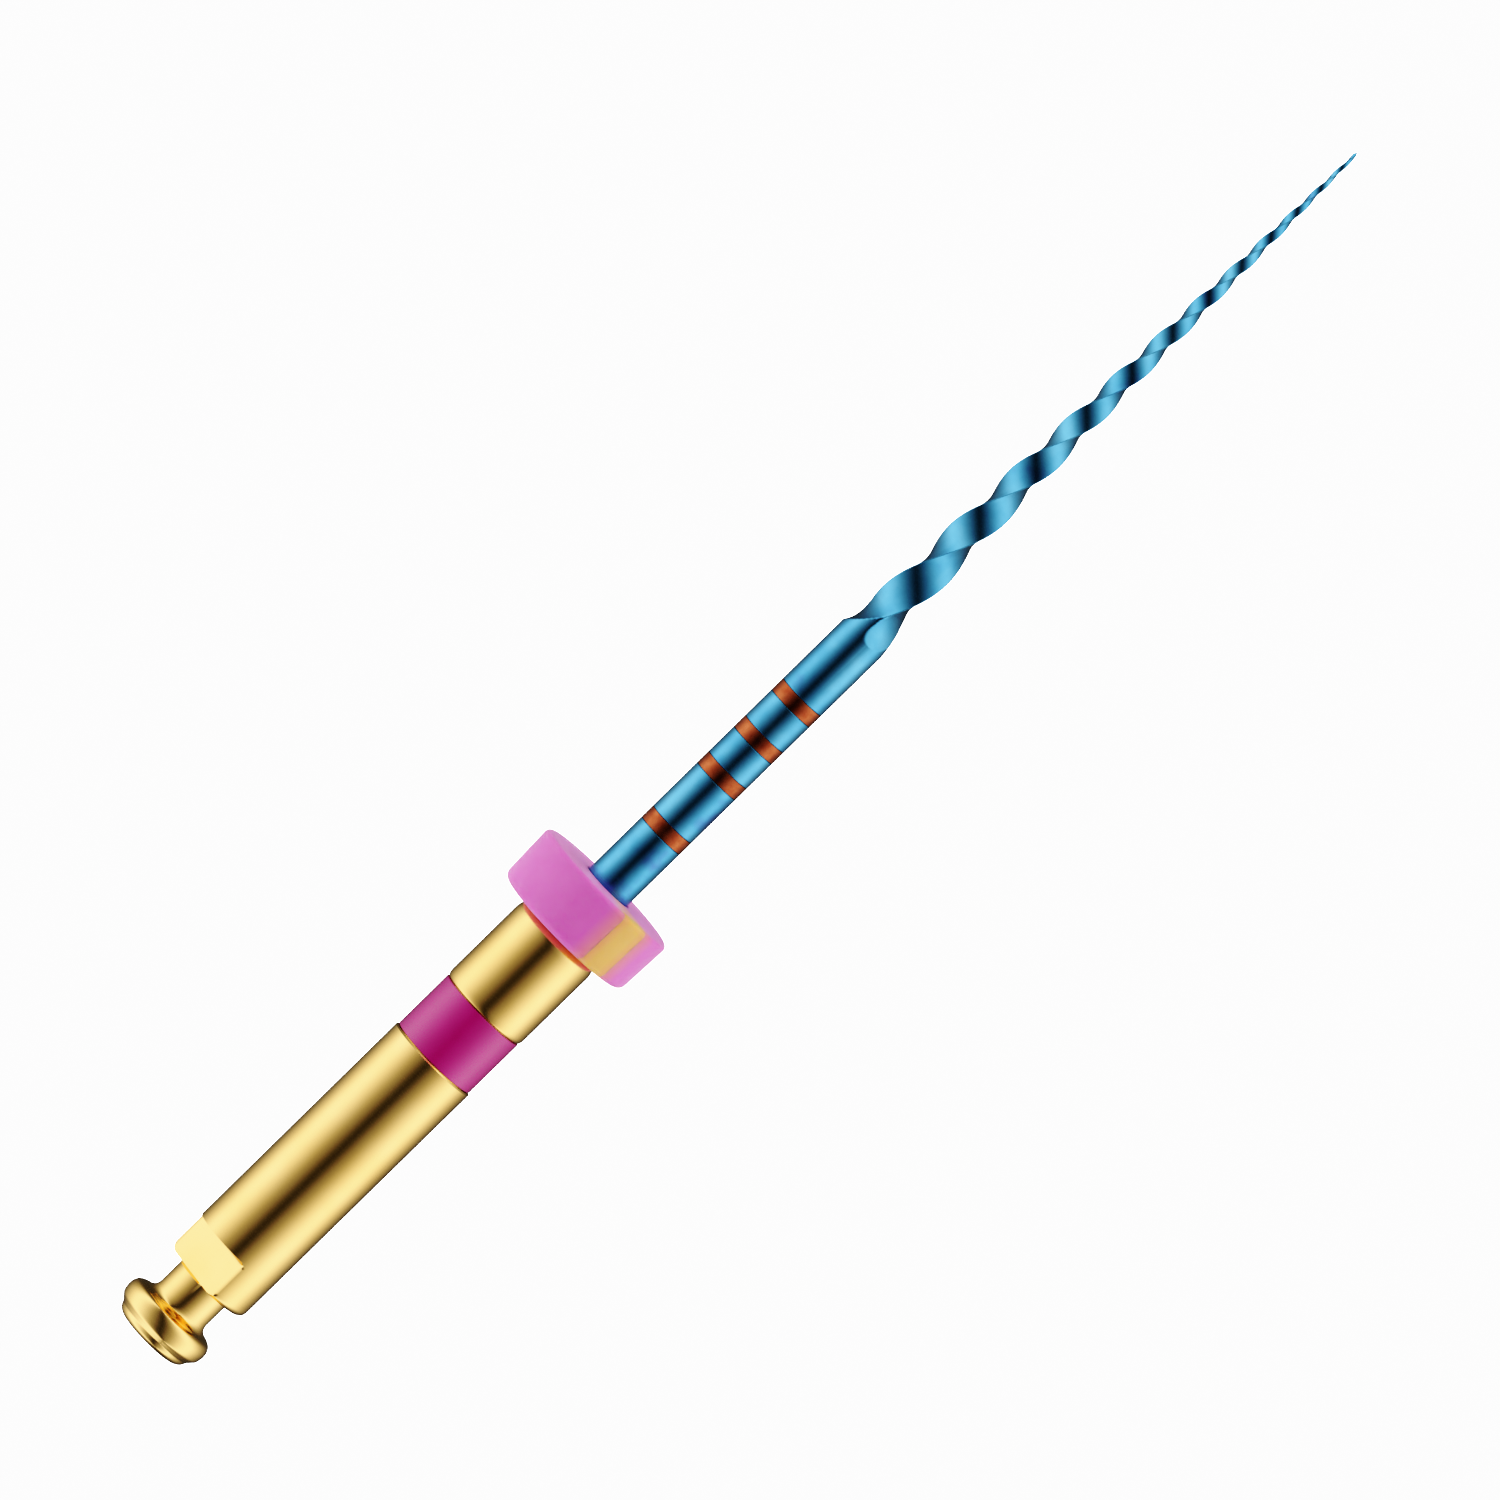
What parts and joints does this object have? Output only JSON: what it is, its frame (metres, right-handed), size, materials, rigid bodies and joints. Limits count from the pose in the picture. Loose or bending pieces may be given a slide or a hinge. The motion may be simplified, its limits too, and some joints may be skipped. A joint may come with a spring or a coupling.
{
  "type": "rotary endodontic file",
  "caption": "Latch-shank rotary root-canal file: gold handle, size band, sliding silicone stop and a blue, tapered, fluted blade with depth marks.",
  "frame": {"origin": "centre of the flat end face of the latch button", "axes": "+Z along the rotation axis from the latch end to the tip; -Y is the outward normal of the drive flat"},
  "size_m": [0.0038, 0.0038, 0.0389],
  "materials": {
    "gold_plate": "polished gold plate",
    "magenta_plastic": "gloss",
    "clear_adhesive": "clear",
    "blue_nickel_titanium": "polished, heat-treated blue",
    "pink_silicone": "translucent satin",
    "yellow_silicone": "translucent satin",
    "copper_coating": "satin coating"
  },
  "bodies": {
    "file": {"handle": "gold_plate", "size_band": "magenta_plastic", "tang_adhesive": "clear_adhesive", "blade": "blue_nickel_titanium", "depth_mark_18mm": "copper_coating", "depth_mark_19mm": "copper_coating", "depth_mark_20mm": "copper_coating", "depth_mark_22mm": "copper_coating"},
    "length_stop": {"stop": "pink_silicone", "stop_direction_mark": "yellow_silicone"}
  },
  "joints": [
    {"name": "stop_slide", "type": "slide", "parent": "file", "child": "length_stop", "axis": [0, 0, 1], "range_m": [0, 0.0081]}
  ]
}
